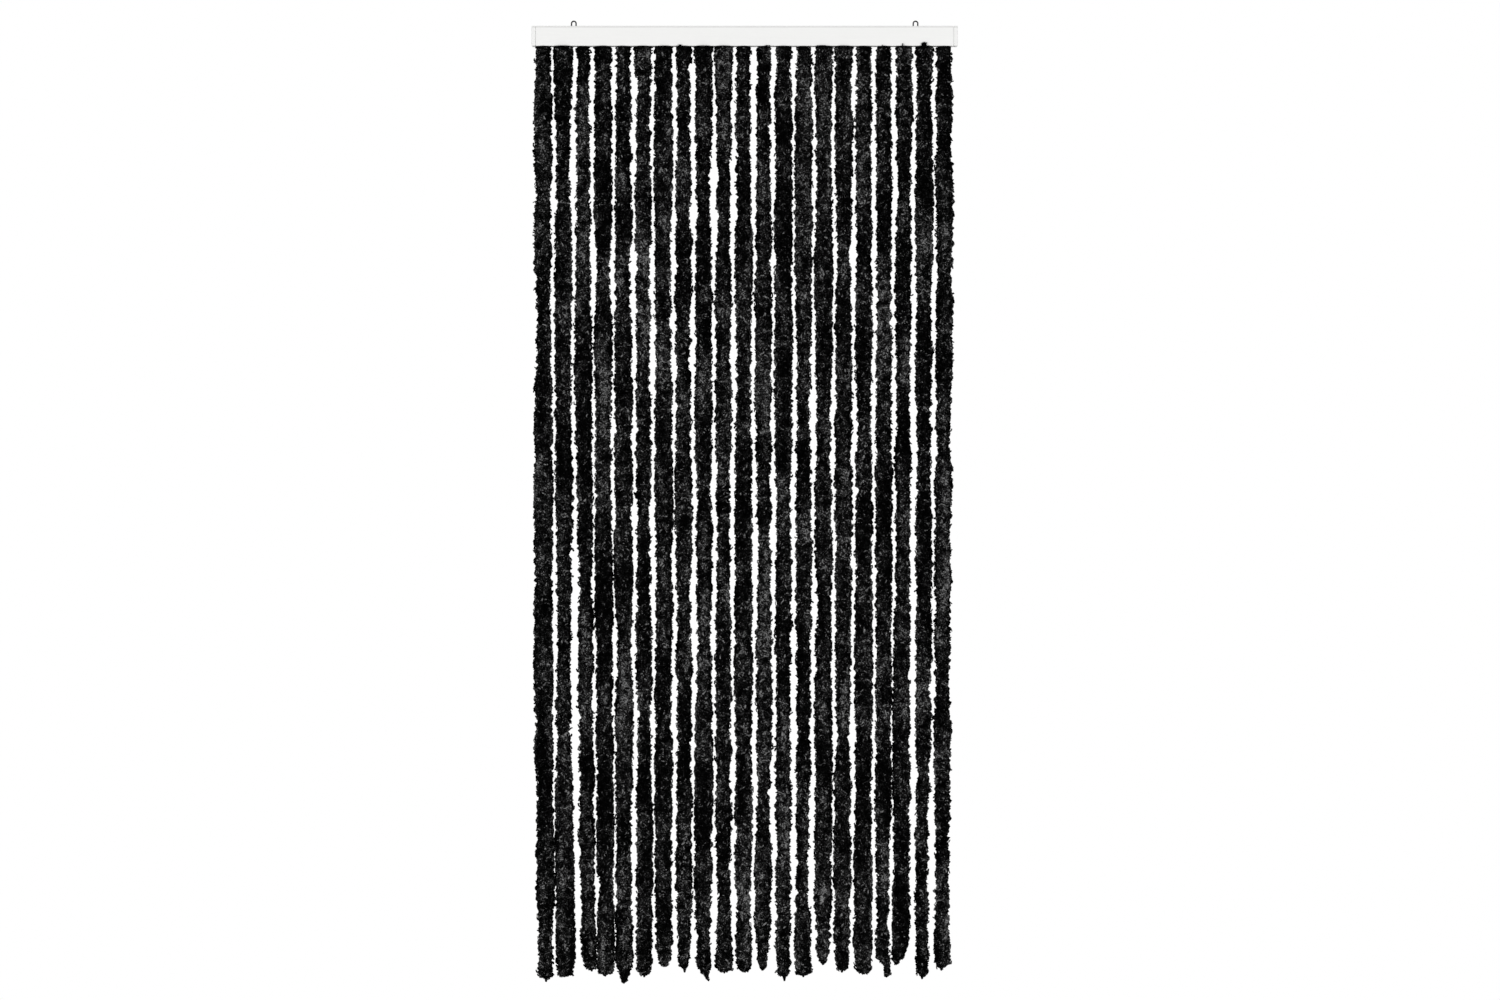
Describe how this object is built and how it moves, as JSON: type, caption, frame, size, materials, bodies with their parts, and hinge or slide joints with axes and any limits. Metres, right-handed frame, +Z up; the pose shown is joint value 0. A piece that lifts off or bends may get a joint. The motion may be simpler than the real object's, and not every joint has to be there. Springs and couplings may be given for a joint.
{
  "type": "chenille fly curtain",
  "caption": "Door curtain of fluffy black chenille strands that swing from a white head rail, which hangs from hooks by two wire eyes.",
  "frame": {"origin": "midway between the two hanging eyes, where the wall hooks bear on the inside of their arches", "axes": "+X along the rail to the right as seen from the front, +Y towards the back, +Z up"},
  "size_m": [0.9, 0.0358, 2.0358],
  "materials": {
    "white_metal": "satin white paint on aluminium",
    "white_plastic": "plain moulded",
    "dark_wire": "dull dark zinc",
    "nylon": "natural nylon",
    "black_chenille": "curly polyester pile"
  },
  "bodies": {
    "rail": {"head_rail": "white_metal", "end_cap_left": "white_plastic", "end_cap_right": "white_plastic", "hanging_eye_left": "dark_wire", "hanging_eye_right": "dark_wire", "hanger_01": "nylon", "hanger_02": "nylon", "hanger_03": "nylon", "hanger_04": "nylon", "hanger_05": "nylon", "hanger_06": "nylon", "hanger_07": "nylon", "hanger_08": "nylon", "hanger_09": "nylon", "hanger_10": "nylon", "hanger_11": "nylon", "hanger_12": "nylon", "hanger_13": "nylon", "hanger_14": "nylon", "hanger_15": "nylon", "hanger_16": "nylon", "hanger_17": "nylon", "hanger_18": "nylon", "hanger_19": "nylon", "hanger_20": "nylon", "hanger_21": "nylon"},
    "strand_01": {"strand_01": "black_chenille"},
    "strand_02": {"strand_02": "black_chenille"},
    "strand_03": {"strand_03": "black_chenille"},
    "strand_04": {"strand_04": "black_chenille"},
    "strand_05": {"strand_05": "black_chenille"},
    "strand_06": {"strand_06": "black_chenille"},
    "strand_07": {"strand_07": "black_chenille"},
    "strand_08": {"strand_08": "black_chenille"},
    "strand_09": {"strand_09": "black_chenille"},
    "strand_10": {"strand_10": "black_chenille"},
    "strand_11": {"strand_11": "black_chenille"},
    "strand_12": {"strand_12": "black_chenille"},
    "strand_13": {"strand_13": "black_chenille"},
    "strand_14": {"strand_14": "black_chenille"},
    "strand_15": {"strand_15": "black_chenille"},
    "strand_16": {"strand_16": "black_chenille"},
    "strand_17": {"strand_17": "black_chenille"},
    "strand_18": {"strand_18": "black_chenille"},
    "strand_19": {"strand_19": "black_chenille"},
    "strand_20": {"strand_20": "black_chenille"},
    "strand_21": {"strand_21": "black_chenille"}
  },
  "joints": [
    {"name": "strand_01_swing", "type": "hinge", "parent": "rail", "child": "strand_01", "pos_m": [-0.4293, 0, -0.069], "axis": [1, 0, 0], "range_deg": [-75, 75]},
    {"name": "strand_02_swing", "type": "hinge", "parent": "rail", "child": "strand_02", "pos_m": [-0.3869, 0, -0.069], "axis": [1, 0, 0], "range_deg": [-75, 75]},
    {"name": "strand_03_swing", "type": "hinge", "parent": "rail", "child": "strand_03", "pos_m": [-0.3445, 0, -0.069], "axis": [1, 0, 0], "range_deg": [-75, 75]},
    {"name": "strand_04_swing", "type": "hinge", "parent": "rail", "child": "strand_04", "pos_m": [-0.3021, 0, -0.069], "axis": [1, 0, 0], "range_deg": [-75, 75]},
    {"name": "strand_05_swing", "type": "hinge", "parent": "rail", "child": "strand_05", "pos_m": [-0.2597, 0, -0.069], "axis": [1, 0, 0], "range_deg": [-75, 75]},
    {"name": "strand_06_swing", "type": "hinge", "parent": "rail", "child": "strand_06", "pos_m": [-0.2173, 0, -0.069], "axis": [1, 0, 0], "range_deg": [-75, 75]},
    {"name": "strand_07_swing", "type": "hinge", "parent": "rail", "child": "strand_07", "pos_m": [-0.1749, 0, -0.069], "axis": [1, 0, 0], "range_deg": [-75, 75]},
    {"name": "strand_08_swing", "type": "hinge", "parent": "rail", "child": "strand_08", "pos_m": [-0.1325, 0, -0.069], "axis": [1, 0, 0], "range_deg": [-75, 75]},
    {"name": "strand_09_swing", "type": "hinge", "parent": "rail", "child": "strand_09", "pos_m": [-0.0901, 0, -0.069], "axis": [1, 0, 0], "range_deg": [-75, 75]},
    {"name": "strand_10_swing", "type": "hinge", "parent": "rail", "child": "strand_10", "pos_m": [-0.0477, 0, -0.069], "axis": [1, 0, 0], "range_deg": [-75, 75]},
    {"name": "strand_11_swing", "type": "hinge", "parent": "rail", "child": "strand_11", "pos_m": [-0.0053, 0, -0.069], "axis": [1, 0, 0], "range_deg": [-75, 75]},
    {"name": "strand_12_swing", "type": "hinge", "parent": "rail", "child": "strand_12", "pos_m": [0.0371, 0, -0.069], "axis": [1, 0, 0], "range_deg": [-75, 75]},
    {"name": "strand_13_swing", "type": "hinge", "parent": "rail", "child": "strand_13", "pos_m": [0.0795, 0, -0.069], "axis": [1, 0, 0], "range_deg": [-75, 75]},
    {"name": "strand_14_swing", "type": "hinge", "parent": "rail", "child": "strand_14", "pos_m": [0.1219, 0, -0.069], "axis": [1, 0, 0], "range_deg": [-75, 75]},
    {"name": "strand_15_swing", "type": "hinge", "parent": "rail", "child": "strand_15", "pos_m": [0.1643, 0, -0.069], "axis": [1, 0, 0], "range_deg": [-75, 75]},
    {"name": "strand_16_swing", "type": "hinge", "parent": "rail", "child": "strand_16", "pos_m": [0.2067, 0, -0.069], "axis": [1, 0, 0], "range_deg": [-75, 75]},
    {"name": "strand_17_swing", "type": "hinge", "parent": "rail", "child": "strand_17", "pos_m": [0.2491, 0, -0.069], "axis": [1, 0, 0], "range_deg": [-75, 75]},
    {"name": "strand_18_swing", "type": "hinge", "parent": "rail", "child": "strand_18", "pos_m": [0.2915, 0, -0.069], "axis": [1, 0, 0], "range_deg": [-75, 75]},
    {"name": "strand_19_swing", "type": "hinge", "parent": "rail", "child": "strand_19", "pos_m": [0.3339, 0, -0.069], "axis": [1, 0, 0], "range_deg": [-75, 75]},
    {"name": "strand_20_swing", "type": "hinge", "parent": "rail", "child": "strand_20", "pos_m": [0.3763, 0, -0.069], "axis": [1, 0, 0], "range_deg": [-75, 75]},
    {"name": "strand_21_swing", "type": "hinge", "parent": "rail", "child": "strand_21", "pos_m": [0.4187, 0, -0.069], "axis": [1, 0, 0], "range_deg": [-75, 75]}
  ]
}
